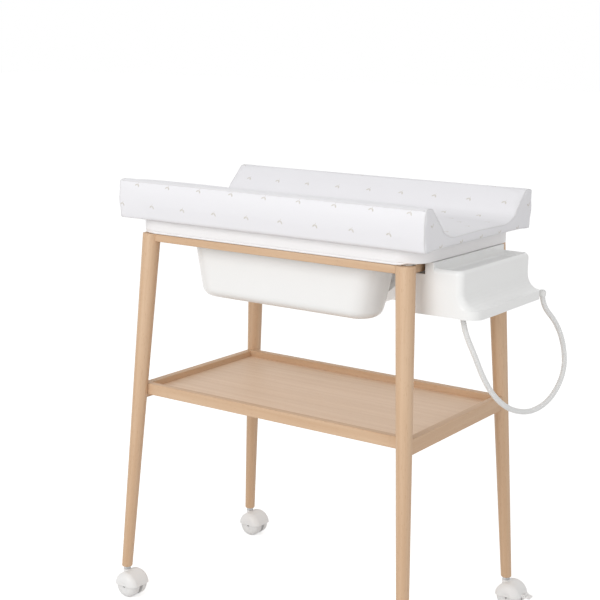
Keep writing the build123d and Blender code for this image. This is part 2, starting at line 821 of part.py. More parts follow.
with BuildPart() as moving_leaves:
    for x in hinge_places:
        add(hinge_bar(x, hinge_length, lid_half_width, lid_half_width + hinge_leaf,
                      leaf_bottom_z, leaf_top_z))
        add(hinge_bar(x, 2 * inner_knuckle, lid_half_width, lid_half_width + hinge_leaf,
                      pin_z, leaf_bottom_z))
        add(knuckle(x, 2 * inner_knuckle, hinge_knuckle_radius))
        add(knuckle(x, 2 * hinge_length, hinge_pin_radius + hinge_fit), mode=Mode.SUBTRACT)
    add(lid_screw_bores, mode=Mode.SUBTRACT)
save(moving_leaves.part, "hinge_moving_leaves")

with BuildPart() as hinge_pins:
    for x in hinge_places:
        add(knuckle(x, hinge_length, hinge_pin_radius))
save(hinge_pins.part, "hinge_pins")


def screw_set(face_y, mid_z, length):
    """Pan screws driven forward through both leaves at one height."""
    with BuildPart() as screws:
        add(screw_bars(face_y, mid_z, screw_radius, length))
        add(screw_bars(face_y, mid_z, screw_head_radius, -screw_head_height))
        fillet(screws.edges().group_by(Axis.Y)[-1], screw_head_height / 2)
    return screws.part


save(screw_set(rail_leaf_y, rail_screw_z, screw_length), "rail_hinge_screws")
save(screw_set(lid_leaf_y, lid_screw_z, lid_screw_length), "lid_hinge_screws")

# Changing mat: two raised bolsters along its sides round a shallow trough
mat_mid_z = lid_top_z + mat_thickness
bolster_top_z = lid_top_z + bolster_height
slope_top_y = mat_half - bolster_top
slope_foot_y = slope_top_y - bolster_slope
ease_foot_y = slope_foot_y - bolster_ease
ease_rise = bolster_ease * ease_rise_share
with BuildPart() as mat:
    with BuildSketch(Plane.YZ.offset(frame_x)) as section:
        with BuildLine():
            Line((-mat_half + mat_tuck, lid_top_z), (mat_half - mat_tuck, lid_top_z))
            for way in (-1, 1):
                ThreePointArc(
                    (way * (mat_half - mat_tuck), lid_top_z),
                    (way * mat_half, (lid_top_z + bolster_top_z) / 2),
                    (way * (mat_half - mat_tuck), bolster_top_z))
                ThreePointArc(
                    (way * (mat_half - mat_tuck), bolster_top_z),
                    (way * (mat_half + slope_top_y) / 2, bolster_top_z + mat_crown),
                    (way * slope_top_y, bolster_top_z))
                ThreePointArc(
                    (way * slope_top_y, bolster_top_z),
                    (way * (slope_top_y + slope_foot_y) / 2,
                     (bolster_top_z + mat_mid_z + ease_rise) / 2 + mat_crown),
                    (way * slope_foot_y, mat_mid_z + ease_rise))
                ThreePointArc(
                    (way * slope_foot_y, mat_mid_z + ease_rise),
                    (way * (slope_foot_y + ease_foot_y) / 2, mat_mid_z + ease_rise / 4),
                    (way * ease_foot_y, mat_mid_z))
            ThreePointArc((-ease_foot_y, mat_mid_z), (0, mat_mid_z + mat_crown),
                          (ease_foot_y, mat_mid_z))
        make_face()
        fillet(section.vertices().group_by(Axis.Y)[-1], mat_edge_round)
        fillet(section.vertices().group_by(Axis.Y)[0], mat_foot_round)
    extrude(amount=mat_half_length, both=True)
    fillet(mat.edges().filter_by(Plane.YZ), mat_foot_round)
save(mat.part, "changing_mat")

# Casters: twin domed wheels under a ball hood that turns on the leg's stem
wheel_outer_y = wheel_inner_y + wheel_tread + wheel_dome
lever_pivot_x = hood_outer + lever_ear_radius
lever_reach = lever_pivot_x + lever_pedal_reach

# Brake lever in side view from the hub: a shoe behind the wheels, an arm
# past the ears and a wide pedal
shoe_x = wheel_radius + lever_shoe_gap
shoe_back_x = lever_pivot_x - lever_barrel_radius + lever_neck
shoe_top = hood_skirt_rise - lever_shoe_clear
barrel_foot = lever_pivot_rise - lever_barrel_radius
pedal_start_x = lever_pivot_x + lever_ear_radius + lever_neck
lever_shoe = [
    (shoe_x, lever_pivot_rise - lever_shoe_drop),
    (shoe_x, shoe_top),
    (shoe_back_x - lever_neck, shoe_top),
    (shoe_back_x - lever_neck, lever_pivot_rise),
    (lever_pivot_x, lever_pivot_rise),
    (lever_pivot_x, barrel_foot),
    (shoe_back_x, lever_pivot_rise - lever_shoe_drop),
]
lever_arm = [
    (lever_pivot_x, lever_pivot_rise),
    (pedal_start_x + lever_neck, lever_pivot_rise),
    (pedal_start_x + lever_neck, barrel_foot),
    (lever_pivot_x, barrel_foot),
]
lever_pedal = [
    (pedal_start_x, lever_pivot_rise + lever_neck),
    (lever_reach, lever_pivot_rise - lever_neck),
    (lever_reach, barrel_foot - lever_neck),
    (pedal_start_x, barrel_foot),
]


def dome_outline(radius, tread_y, end_y, hub_radius):
    """Half section through a wheel or hood: axial reach against radius."""
    bulge_y = tread_y + (end_y - tread_y) * dome_bulge_share
    bulge_radius = hub_radius + (radius - hub_radius) * dome_bulge_share
    Polyline((0, 0), (end_y, 0), (end_y, hub_radius))
    ThreePointArc((end_y, hub_radius), (bulge_y, bulge_radius), (tread_y, radius))
    Polyline((tread_y, radius), (0, radius), (0, 0))


def domed_disc(hub, radius, tread_y, end_y, hub_radius):
    """Both halves of a domed disc, turned about the hub's cross axis."""
    with BuildPart() as disc:
        with BuildSketch(Plane(origin=hub, x_dir=(0, 1, 0), z_dir=(-1, 0, 0))):
            with BuildLine():
                dome_outline(radius, tread_y, end_y, hub_radius)
            make_face()
            mirror(about=Plane.YZ)
        revolve(axis=Axis(hub, (0, 1, 0)))
    return disc.part


def rod(hub, radius, reach):
    with BuildPart() as bar:
        with BuildSketch(Plane(origin=hub, z_dir=(0, 1, 0))):
            Circle(radius)
        extrude(amount=reach, both=True)
    return bar.part


for name, (side, depth) in corners.items():
    foot_x, foot_y = leg_place(leg_foot_z)
    pivot_x = frame_x + side * foot_x
    pivot = Plane(origin=(pivot_x, depth * foot_y, 0))
    hub = (pivot_x + hood_offset, depth * foot_y, hub_z)
    braked = name in brake_corners
    lever_pivot = (hub[0] + lever_pivot_x, hub[1], hub_z + lever_pivot_rise)

    with BuildPart() as stem:
        with BuildSketch(pivot.offset(hood_top_z + stem_collar_gap)):
            Circle(stem_collar_radius)
        extrude(amount=leg_foot_z - hood_top_z - stem_collar_gap)
        with BuildSketch(pivot.offset(leg_foot_z)):
            Circle(stem_radius)
        extrude(amount=stem_insert)
        fillet(stem.edges().group_by(Axis.Z)[-1], stem_radius / 4)
        with BuildSketch(pivot.offset(hood_top_z - stem_pin_depth)):
            Circle(stem_pin_radius)
        extrude(amount=stem_pin_depth + stem_collar_gap)
    save(stem.part, "caster_stem_" + name)

    with BuildPart() as wheels:
        add(domed_disc(hub, wheel_radius, wheel_inner_y + wheel_tread, wheel_outer_y,
                       wheel_hub_radius))
        with BuildSketch(Plane(origin=hub, z_dir=(0, 1, 0))):
            Circle(hood_outer)
        extrude(amount=wheel_inner_y, both=True, mode=Mode.SUBTRACT)
        add(rod(hub, axle_radius + wheel_axle_fit, 2 * wheel_outer_y), mode=Mode.SUBTRACT)
    save(wheels.part, "caster_wheels_" + name)

    across = Plane(origin=hub, z_dir=(0, 1, 0))
    side_on = Plane(origin=hub, x_dir=(1, 0, 0), z_dir=(0, -1, 0))
    with BuildPart() as hood:
        add(domed_disc(hub, hood_outer, wheel_inner_y + wheel_tread + hood_gap,
                       wheel_outer_y + hood_gap + hood_wall, wheel_hub_radius))
        with BuildSketch(pivot.offset(hub_z + hood_outer / 2)):
            Circle(hood_boss_radius)
        extrude(amount=hood_top_z - hub_z - hood_outer / 2)
        add(domed_disc(hub, hood_inner, wheel_inner_y + wheel_tread + hood_gap / 2,
                       wheel_outer_y + hood_gap, wheel_hub_radius - hood_wall),
            mode=Mode.SUBTRACT)
        with BuildSketch(across):
            Circle(hood_inner + slip_gap)
        extrude(amount=hood_web / 2, both=True)
        with BuildSketch(side_on):
            with Locations((0, hood_skirt_rise - hood_outer)):
                Rectangle(4 * hood_outer, 2 * hood_outer)
        extrude(amount=2 * wheel_outer_y, both=True, mode=Mode.SUBTRACT)
        with BuildSketch(across):
            Circle(hood_hub_radius)
        extrude(amount=hood_web / 2, both=True)
        if braked:
            for way in (-1, 1):
                with BuildSketch(side_on.offset(way * (lever_barrel / 2 + seat_gap))):
                    with Locations((lever_pivot_x, lever_pivot_rise)):
                        Circle(lever_ear_radius)
                    with Locations(((hood_outer + lever_pivot_x) / 2, lever_pivot_rise)):
                        Rectangle(lever_pivot_x - hood_outer + 2 * hood_wall, 2 * lever_ear_radius)
                extrude(amount=way * lever_ear_thickness)
        with BuildSketch(pivot.offset(hood_top_z)):
            Circle(stem_pin_radius + stem_fit)
        extrude(amount=-(stem_pin_depth + slip_gap), mode=Mode.SUBTRACT)
        add(rod(hub, axle_radius, 2 * wheel_outer_y), mode=Mode.SUBTRACT)
        if braked:
            add(rod(lever_pivot, lever_pin_radius, 2 * wheel_outer_y), mode=Mode.SUBTRACT)
    save(hood.part, "caster_hood_" + name)

    if braked:
        with BuildPart() as lever:
            with BuildSketch(side_on):
                with Locations((lever_pivot_x, lever_pivot_rise)):
                    Circle(lever_barrel_radius)
                with BuildLine():
                    Polyline(*lever_shoe, close=True)
                make_face()
            extrude(amount=lever_barrel / 2, both=True)
            with BuildSketch(side_on):
                with BuildLine():
                    Polyline(*lever_arm, close=True)
                make_face()
            extrude(amount=lever_barrel / 2, both=True)
            with BuildSketch(side_on):
                with BuildLine():
                    Polyline(*lever_pedal, close=True)
                make_face()
            extrude(amount=lever_width / 2, both=True)
            add(rod(lever_pivot, lever_pin_radius + lever_fit, lever_width), mode=Mode.SUBTRACT)
        save(lever.part, "brake_lever_" + name)
        with BuildPart() as lever_pin:
            add(rod(lever_pivot, lever_pin_radius, lever_barrel / 2 + lever_ear_thickness))
        save(lever_pin.part, "brake_pin_" + name)

    with BuildPart() as axle:
        add(rod(hub, axle_radius, axle_reach))
    save(axle.part, "caster_axle_" + name)
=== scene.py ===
from math import cos, pi, radians, sin

import bmesh
import bpy
import numpy as np
from mathutils import Matrix, Vector
from mathutils.bvhtree import BVHTree


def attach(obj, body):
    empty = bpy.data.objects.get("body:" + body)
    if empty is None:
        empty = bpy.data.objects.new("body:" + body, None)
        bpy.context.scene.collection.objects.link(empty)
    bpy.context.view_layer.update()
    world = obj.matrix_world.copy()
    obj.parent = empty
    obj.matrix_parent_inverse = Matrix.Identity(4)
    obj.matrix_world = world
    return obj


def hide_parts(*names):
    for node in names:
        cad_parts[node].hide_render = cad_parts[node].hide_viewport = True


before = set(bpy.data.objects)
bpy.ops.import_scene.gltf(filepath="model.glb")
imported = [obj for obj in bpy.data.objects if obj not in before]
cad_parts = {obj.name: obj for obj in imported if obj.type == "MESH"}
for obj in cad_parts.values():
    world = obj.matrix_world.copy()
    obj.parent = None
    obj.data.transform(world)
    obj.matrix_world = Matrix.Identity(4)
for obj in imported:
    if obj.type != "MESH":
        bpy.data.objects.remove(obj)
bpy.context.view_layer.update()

scene = bpy.context.scene
scene.view_settings.view_transform = "Standard"

# Camera of the photograph: a long lens to the front right of the table and a
# little above it, rolled by one degree.
camera_place = (1.5655, -2.426, 1.3235)
camera_heading, camera_tilt, camera_roll = 34.43, 78.47, 1.0
camera_data = bpy.data.cameras.new("camera")
camera_data.lens = 77.69
camera_data.sensor_width = 36.0
camera = bpy.data.objects.new("camera", camera_data)
scene.collection.objects.link(camera)
camera.location = camera_place
camera_turn = (Matrix.Rotation(radians(camera_heading), 3, "Z")
               @ Matrix.Rotation(radians(camera_tilt), 3, "X")
               @ Matrix.Rotation(radians(camera_roll), 3, "Z"))
camera.rotation_euler = camera_turn.to_euler()
scene.camera = camera

# Drain hose: a thin pleated tube of cloudy soft plastic. It is pushed on the
# drain's spigot, comes out under the tub's end, hangs in a loop and is held
# upright in a clip at the rear corner of the lip.
hose_points = (
    (0.1515, 0.112, 0.718), (0.196, 0.112, 0.718), (0.236, 0.098, 0.732),
    (0.262, 0.062, 0.750), (0.268, 0.014, 0.768), (0.266, -0.036, 0.788),
    (0.280, -0.080, 0.810), (0.312, -0.106, 0.826), (0.350, -0.114, 0.822),
    (0.374, -0.118, 0.800), (0.386, -0.120, 0.768), (0.391, -0.113, 0.732),
    (0.402, -0.090, 0.685), (0.410, -0.062, 0.632), (0.420, -0.024, 0.584),
    (0.431, 0.036, 0.544), (0.443, 0.120, 0.523), (0.454, 0.198, 0.540),
    (0.461, 0.243, 0.592), (0.460, 0.236, 0.652), (0.451, 0.208, 0.710),
    (0.4345, 0.157, 0.758), (0.4345, 0.157, 0.790),
)
hose_radius = 0.006
hose_pleat_radii = (0.0051, 0.0055, 0.006, 0.006, 0.0055)
hose_bore_radius = 0.0045
hose_pleat = 0.0049
hose_cuff = 0.016
hose_mouth = 0.012
hose_sides = 20


class Value:
    """A value in a finish: one output of one node. Sums on it add Math nodes."""

    def __init__(self, tree, socket=None):
        self.tree = tree
        self.socket = socket

    def node(self, kind, settings=None, sockets=None, output=0):
        """Adds a node, sets its settings first, then its sockets by name or number."""
        added = self.tree.nodes.new("ShaderNode" + kind)
        for name, setting in (settings or {}).items():
            if name == "stops":
                while len(added.color_ramp.elements) < len(setting):
                    added.color_ramp.elements.new(1.0)
                for element, (place, colour) in zip(added.color_ramp.elements, setting):
                    element.position = place
                    element.color = colour
            else:
                setattr(added, name, setting)
        for name, given in (sockets or {}).items():
            if isinstance(given, Value):
                self.tree.links.new(given.socket, added.inputs[name])
            else:
                added.inputs[name].default_value = given
        return Value(self.tree, added.outputs[output] if added.outputs else None)

    def maths(self, operation, *values):
        return self.node("Math", {"operation": operation}, dict(enumerate(values)))

    def clamped(self):
        return self.node("Clamp", {}, {"Value": self})

    def above(self, low, gain):
        """How far this is above a level, times a gain, kept from 0 to 1."""
        return ((self - low) * gain).clamped()

    def mixed(self, low, high):
        """A colour between two, by this value."""
        return self.node("Mix", {"data_type": "RGBA"}, {0: self, 6: low, 7: high}, 2)

    def stretched(self, scale):
        """These coordinates, multiplied axis by axis."""
        return self.node("VectorMath", {"operation": "MULTIPLY"}, {0: self, 1: scale})

    def noise(self, scale, detail=2.0, roughness=0.5):
        return self.node("TexNoise", {}, {"Vector": self, "Scale": scale, "Detail": detail,
                                          "Roughness": roughness})

    def __add__(self, other):
        return self.maths("ADD", self, other)

    def __sub__(self, other):
        return self.maths("SUBTRACT", self, other)

    def __rsub__(self, other):
        return self.maths("SUBTRACT", other, self)

    def __mul__(self, other):
        return self.maths("MULTIPLY", self, other)

    def __truediv__(self, other):
        return self.maths("DIVIDE", self, other)

    __radd__ = __add__
    __rmul__ = __mul__


def new_finish(name):
    """An empty material and the value from which its nodes are added."""
    material = bpy.data.materials.new(name)
    material.use_nodes = True
    material.node_tree.nodes.clear()
    return material, Value(material.node_tree)


def surface(start, sockets):
    shader = start.node("BsdfPrincipled", {}, sockets)
    start.node("OutputMaterial", {}, {"Surface": shader})


def paint(red, green, blue):
    """A colour as it is read off a screen, 0 to 255, as linear light."""
    return tuple(((part / 255 + 0.055) / 1.055) ** 2.4 for part in (red, green, blue)) + (1.0,)


def shade(colour, share):
    """The same colour with its light cut to a share."""
    return tuple(part * share for part in colour[:3]) + (1.0,)


moulded_patch_scale = 7.0
moulded_patch_shade = 0.955
moulded_rough_spread = 0.12
skin_depth = 0.0003


def moulded(name, colour, cloudy=0.0, rough=0.34, grain=900.0, coat=0.0):
    """Moulded plastic: hardly uneven in colour, with the fine skin of its mould."""
    material, start = new_finish(name)
    place = start.node("TexCoord", {}, {}, "Object")
    patches = place.noise(moulded_patch_scale, 3.0)
    skin = place.noise(grain, 2.0)
    bump = start.node("Bump", {}, {"Strength": 0.12, "Distance": skin_depth, "Height": skin})
    surface(start, {
        "Base Color": patches.mixed(shade(colour, moulded_patch_shade), colour),
        "Roughness": (patches - 0.5) * moulded_rough_spread + rough,
        "Normal": bump, "Transmission Weight": cloudy, "IOR": 1.46,
        "Coat Weight": coat, "Coat Roughness": 0.12})
    return material


def dress(material, *names):
    """Gives CAD nodes a finish in place of their plain one."""
    for name in names:
        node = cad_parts[name]
        for spot in node.material_slots:
            spot.material = material


def finished(name, form, material, body, smooth_angle=35.0):
    """Turns a bmesh into a piece at the origin that moves with one body."""
    mesh = bpy.data.meshes.new(name)
    form.to_mesh(mesh)
    form.free()
    mesh.polygons.foreach_set("use_smooth", [True] * len(mesh.polygons))
    mesh.set_sharp_from_angle(angle=radians(smooth_angle))
    mesh.materials.append(material)
    piece = bpy.data.objects.new(name, mesh)
    scene.collection.objects.link(piece)
    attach(piece, body)
    return piece


def even_path(points, step):
    """The same line with its points one step apart, its last point kept."""
    reach = [0.0]
    for before, here in zip(points, points[1:]):
        reach.append(reach[-1] + (here - before).length)
    count = max(2, round(reach[-1] / step))
    places, at = [], 0
    for index in range(count + 1):
        goal = reach[-1] * index / count
        while at < len(reach) - 2 and reach[at + 1] < goal:
            at += 1
        share = (goal - reach[at]) / (reach[at + 1] - reach[at])
        places.append(points[at].lerp(points[at + 1], share))
    return places


def tube_along(path, rings, sides, closed=False):
    """A tube grown ring by ring; each ring is a place on the path and a radius."""
    turns = []
    for index, place in enumerate(path):
        ahead = path[min(index + 1, len(path) - 1)]
        behind = path[max(index - 1, 0)]
        if closed:
            ahead, behind = path[(index + 1) % len(path)], path[index - 1]
        heading = (ahead - behind).normalized()
        if turns:
            turns.append(last_heading.rotation_difference(heading) @ turns[-1])
        else:
            turns.append(Vector((0, 0, 1)).rotation_difference(heading))
        last_heading = heading

    def pose(ring):
        index, radius = ring
        return (Matrix.Translation(path[index]) @ turns[index].to_matrix().to_4x4()
                @ Matrix.Scale(radius, 4))

    form = bmesh.new()
    bmesh.ops.create_circle(form, segments=sides, radius=1.0, matrix=pose(rings[0]))
    first_edges = edges = list(form.edges)
    for before, here in zip(rings, rings[1:]):
        grown = bmesh.ops.extrude_edge_only(form, edges=edges)["geom"]
        verts = [item for item in grown if isinstance(item, bmesh.types.BMVert)]
        new_verts = set(verts)
        edges = [item for item in grown
                 if isinstance(item, bmesh.types.BMEdge) and new_verts.issuperset(item.verts)]
        bmesh.ops.transform(form, verts=verts, matrix=pose(here) @ pose(before).inverted())
    if closed:
        bmesh.ops.bridge_loops(form, edges=first_edges + edges)
    bmesh.ops.recalc_face_normals(form, faces=form.faces)
    return form


hose_curve = bpy.data.curves.new("hose_route", "CURVE")
hose_curve.dimensions = "3D"
hose_curve.resolution_u = 16
hose_line = hose_curve.splines.new("NURBS")
hose_line.points.add(len(hose_points) - 1)
for point, place in zip(hose_line.points, hose_points):
    point.co = (*place, 1.0)
hose_line.order_u = 3
hose_line.use_endpoint_u = True
hose_route = bpy.data.objects.new("hose_route", hose_curve)
scene.collection.objects.link(hose_route)
route_mesh = bpy.data.meshes.new_from_object(hose_route)
hose_path = [vert.co.copy() for vert in route_mesh.vertices]
bpy.data.objects.remove(hose_route)

hose_steps = even_path(hose_path, hose_pleat / len(hose_pleat_radii))
cuff_steps = round(hose_cuff * len(hose_pleat_radii) / hose_pleat)
mouth_steps = round(hose_mouth * len(hose_pleat_radii) / hose_pleat)
last_step = len(hose_steps) - 1
hose_rings = [(mouth_steps, hose_bore_radius), (0, hose_bore_radius), (0, hose_radius)]
for step in range(1, last_step):
    radius = hose_pleat_radii[step % len(hose_pleat_radii)]
    if step < cuff_steps or step > last_step - cuff_steps:
        radius = hose_radius
    hose_rings.append((step, radius))
hose_rings += [(last_step, hose_radius), (last_step, hose_bore_radius),
               (last_step - mouth_steps, hose_bore_radius)]
hose_finish = moulded("hose_cloudy", paint(246, 246, 245), cloudy=0.05, rough=0.4)
hose = finished("pleated_hose", tube_along(hose_steps, hose_rings, hose_sides),
                hose_finish, "stand", 60.0)
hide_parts("drain_hose")

clip_finish = moulded("clip_white", paint(242, 241, 239), rough=0.4)
dress(clip_finish, "hose_clip")

# Stand: four turned legs and the top and shelf rails between them, all of
# solid beech under a satin varnish, with a thin veneered shelf panel. The
# grain runs along each piece.
frame_x = -0.0375
leg_top = (0.334, 0.203, 0.877)
leg_foot = (0.381, 0.246, 0.070)
beech_light = paint(229, 199, 168)
beech_mid = paint(215, 180, 146)
beech_dark = paint(190, 152, 117)
corners = {
    "front_left": (-1, -1), "front_right": (1, -1),
    "rear_left": (-1, 1), "rear_right": (1, 1),
}
ring_scale = (70.0, 70.0, 2.2)
band_scale = (21.0, 21.0, 0.9)
fibre_scale = (620.0, 620.0, 9.0)
fleck_scale = (520.0, 520.0, 85.0)
ring_level = (0.38, 2.3)
band_level = (0.42, 1.5)
fleck_level = (0.62, 9.0)
band_tint = (0.87, 0.84, 0.80, 1.0)
band_share = 0.5
fibre_share = 0.42
fleck_share = 0.34
grain_depth = 0.0004


def beech(name, place, turn, light=beech_light, mid=beech_mid, dark=beech_dark):
    """Beech whose grain runs along one axis; place and turn fix that axis on the piece."""
    material, start = new_finish(name)
    spot = start.node("TexCoord", {}, {}, "Object")
    along = spot.node("Mapping", {"vector_type": "TEXTURE"},
                      {"Vector": spot, "Location": place, "Rotation": turn})
    rings = along.stretched(ring_scale).noise(1.0, 3.0, 0.55)
    bands = along.stretched(band_scale).noise(1.0, 2.0, 0.5)
    fibres = along.stretched(fibre_scale).noise(1.0, 3.0, 0.6)
    fleck = along.stretched(fleck_scale).noise(1.0, 1.0, 0.4).above(*fleck_level)
    figure = rings.above(*ring_level).mixed(mid, light)
    tinted = figure.node("Mix", {"data_type": "RGBA", "blend_type": "MULTIPLY"},
                         {0: band_share, 6: figure, 7: band_tint}, 2)
    banded = bands.above(*band_level).mixed(tinted, figure)
    pores = ((0.5 - fibres) * 1.4).clamped()
    fibrous = (pores * fibre_share).mixed(banded, dark)
    colour = (fleck * fleck_share).mixed(fibrous, dark)
    bump = start.node("Bump", {}, {"Strength": 0.18, "Distance": grain_depth,
                                   "Height": fibres - fleck * 0.4})
    surface(start, {
        "Base Color": colour, "Roughness": (fibres - 0.5) * 0.2 + (0.52 + fleck * 0.12),
        "Normal": bump, "Coat Weight": 0.05, "Coat Roughness": 0.3})
    return material


for corner, (side, depth) in corners.items():
    foot = Vector((frame_x + side * leg_foot[0], depth * leg_foot[1], leg_foot[2]))
    top = Vector((frame_x + side * leg_top[0], depth * leg_top[1], leg_top[2]))
    lean = Vector((0, 0, 1)).rotation_difference(top - foot).to_euler()
    dress(beech("beech_leg_" + corner, (foot + top) / 2, lean), "leg_" + corner)
grain_across = (0, pi / 2, 0)
grain_inward = (pi / 2, 0, 0)
for end, depth in (("front", -1), ("rear", 1)):
    dress(beech("beech_top_" + end, (0.31, depth * 0.417, 0.91), grain_across), "top_rail_" + end)
    dress(beech("beech_low_" + end, (0.12, depth * 0.331, 0.55), grain_across),
          "shelf_rail_" + end)
for end, side in (("left", -1), ("right", 1)):
    dress(beech("beech_top_" + end, (side * 0.27, 0.12, 0.83), grain_inward), "top_rail_" + end)
    dress(beech("beech_low_" + end, (side * 0.46, 0.21, 0.47), grain_inward),
          "shelf_rail_" + end)
veneer_colours = (paint(246, 221, 197), paint(236, 208, 181), paint(216, 184, 154))
dress(beech("beech_shelf", (0.2, 0.35, 0.62), grain_across, *veneer_colours), "shelf_panel")
dress(beech("beech_dowels", (0.1, 0.1, 0.4), grain_across), "rail_dowels")

# Tub: one vacuum-formed sheet of white plastic. It hangs by its flange in
# the stand, and its right end carries a tray over a flared skirt.
tub_finish = moulded("tub_white", paint(247, 247, 246), rough=0.3, grain=500.0, coat=0.15)
dress(tub_finish, "tub", "tub_end")

# Drain: a flanged outlet clamped through the tub's floor with a rubber seal
# and a nut, an elbow below it, and a plug with a pull knob.
drain_finish = moulded("drain_white", paint(232, 231, 228), rough=0.36)
rubber_finish = moulded("rubber_grey", paint(205, 205, 202), rough=0.7, grain=1600.0)
dress(drain_finish, "drain_nut", "drain_elbow")
dress(rubber_finish, "drain_seal", "drain_plug", "lid_bumpers")

# Lid: a shallow moulded shell, ribbed underneath, on rubber bumpers. The edge
# of its skirt is rolled into a bead that comes down to the rails, runs higher
# over the tub's bridge on the right and stops before the hinges at the rear.
lid_finish = moulded("lid_white", paint(246, 244, 244), rough=0.33, grain=500.0)
dress(lid_finish, "lid")
bead_radius = 0.0029
bead_z = 0.8805
bead_bridge_z = 0.8843
bead_left = -0.4085 + bead_radius
bead_right = 0.3335 - bead_radius
bead_half = 0.217 - bead_radius
bead_corner = 0.055 - bead_radius
bead_rise_turns = (63, 78)
bead_turn_step = 3
bead_rear_turn = 30
bead_step = 0.002
bead_sides = 16


def bead_arc(side, depth, first, last):
    """Places round one corner of the lid, by the angle from its end to its long side.
    On the right the bead rises there to run over the corner of the tub's flange."""
    middle_x = bead_right - bead_corner if side > 0 else bead_left + bead_corner
    places = []
    for turn in range(first, last, bead_turn_step if last > first else -bead_turn_step):
        rise = np.interp(turn, bead_rise_turns, (bead_bridge_z, bead_z)) if side > 0 else bead_z
        reach = bead_half - bead_corner + bead_corner * sin(radians(turn))
        places.append(Vector((middle_x + side * bead_corner * cos(radians(turn)),
                              depth * reach, rise)))
    return places


bead_bridge = bead_half - bead_corner - bead_step
bead_path = bead_arc(1, 1, bead_rear_turn, -1)
bead_path += [Vector((bead_right, depth * bead_bridge, bead_bridge_z)) for depth in (1, -1)]
bead_path += bead_arc(1, -1, 0, 91) + bead_arc(-1, -1, 90, -1)
bead_path += bead_arc(-1, 1, 0, bead_rear_turn + 1)
bead_path = even_path(bead_path, bead_step)
bead_rings = [(index, bead_radius) for index in range(len(bead_path))]
finished("lid_bead", tube_along(bead_path, bead_rings, bead_sides), lid_finish, "lid",
         180.0)

# Hinges: zinc-plated steel leaves rolled round their pins, held by pan screws.
# The drain's outlet and the pins and stems of the casters are the same steel.
steel_finish, steel_start = new_finish("zinc_steel")
steel_place = steel_start.node("TexCoord", {}, {}, "Object")
brush_scale = (60.0, 900.0, 900.0)
brush_depth = 0.0002
brushing = steel_place.stretched(brush_scale).noise(1.0, 3.0)
surface(steel_start, {
    "Base Color": brushing.mixed(paint(176, 177, 178), paint(206, 207, 208)),
    "Metallic": 1.0, "Roughness": brushing * 0.25 + 0.24,
    "Normal": steel_start.node("Bump", {}, {"Strength": 0.15, "Distance": brush_depth,
                                            "Height": brushing})})
dress(steel_finish, "drain_body", "hinge_fixed_leaves", "hinge_moving_leaves", "hinge_pins",
      "rail_hinge_screws", "lid_hinge_screws")

# Changing mat: a foam pad with a bolster along each long side, in a coated
# cotton cover with a small printed sprig. The cover's end pieces are sewn in
# with a thin welt, and the mat lies on the lid.
mat_left, mat_right = -0.4375, 0.3625
mat_low = 0.9111
mat_half = 0.247
mat_section = (
    (0.0, 0.911), (0.238, 0.911), (0.242, 0.915), (0.247, 0.956), (0.243, 0.992),
    (0.234, 1.001), (0.2275, 1.003), (0.213, 1.001), (0.187, 0.9751), (0.161, 0.9452),
    (0.139, 0.9353), (0.117, 0.932), (0.0, 0.934),
)
mat_voxel = 0.0058
mat_start_size = (0.996, 0.991, 0.988)
mat_swell = 0.003
mat_pressure = 4.0
mat_frames = 20
mat_merge = 0.00001
least_length = 1e-9
mat_bulge = 0.003
mat_end_slope = 0.72
mat_print_step = 0.004
print_shift, print_end_shift = 0.6, 0.7
mat_block = 4096
sprig_column = 0.088
sprig_row = 0.047
sprig_tilt = 0.35
leaf_side = 0.0036
leaf_lean = 0.25
leaf_drop = 0.001
leaf_angle = radians(42)
leaf_length = 0.0043
leaf_width = 0.0019
leaf_edge = 4.0
stem_radius = 0.00055
stem_half = 0.0042
stem_drop = 0.0032
stem_side_edge = 5000.0
stem_end_edge = 4000.0
print_wear_scale = 60.0
print_wear, print_least = 0.5, 0.55
cover_skin_scale = 1500.0
cover_soft_scale = 9.0
cover_soft_shade = 0.97
cover_colour = paint(239, 238, 241)
sprig_colour = paint(208, 202, 193)


def section_loop(step):
    """The mat's outline round its section, from the middle of its bottom."""
    half = [Vector((0.0, y, z)) for y, z in mat_section]
    other = [Vector((0.0, -place.y, place.z)) for place in reversed(half[1:-1])]
    return even_path(half + other + [half[0]], step)


def sprig_print(start):
    """Paired leaves on a short stem, in half-drop rows, as a mask from 0 to 1."""
    spot = start.node("UVMap", {"uv_map": "cover"})
    across = spot.node("SeparateXYZ", {}, {0: spot}, 0)
    up = spot.node("SeparateXYZ", {}, {0: spot}, 1) / sprig_row
    row = up.maths("FLOOR", up)
    shift = row.maths("MODULO", row, 2.0) * 0.5
    column = across / sprig_column + shift
    right = (column.maths("FRACT", column) - 0.5) * sprig_column
    rise = (up.maths("FRACT", up) - 0.5) * sprig_row
    tipped = right + rise * sprig_tilt
    off_stem = tipped.maths("ABSOLUTE", tipped)
    side = off_stem - leaf_side
    height = rise - tipped * leaf_lean - leaf_drop
    length = (side * sin(leaf_angle) + height * cos(leaf_angle)) / leaf_length
    width = (side * cos(leaf_angle) - height * sin(leaf_angle)) / leaf_width
    leaf = ((1.0 - (length * length + width * width)) * leaf_edge).clamped()
    along_stem = height + stem_drop
    stem_side = ((stem_radius - off_stem) * stem_side_edge).clamped()
    stem_end = ((stem_half - along_stem.maths("ABSOLUTE", along_stem)) * stem_end_edge).clamped()
    return leaf.maths("MAXIMUM", leaf, stem_side * stem_end)


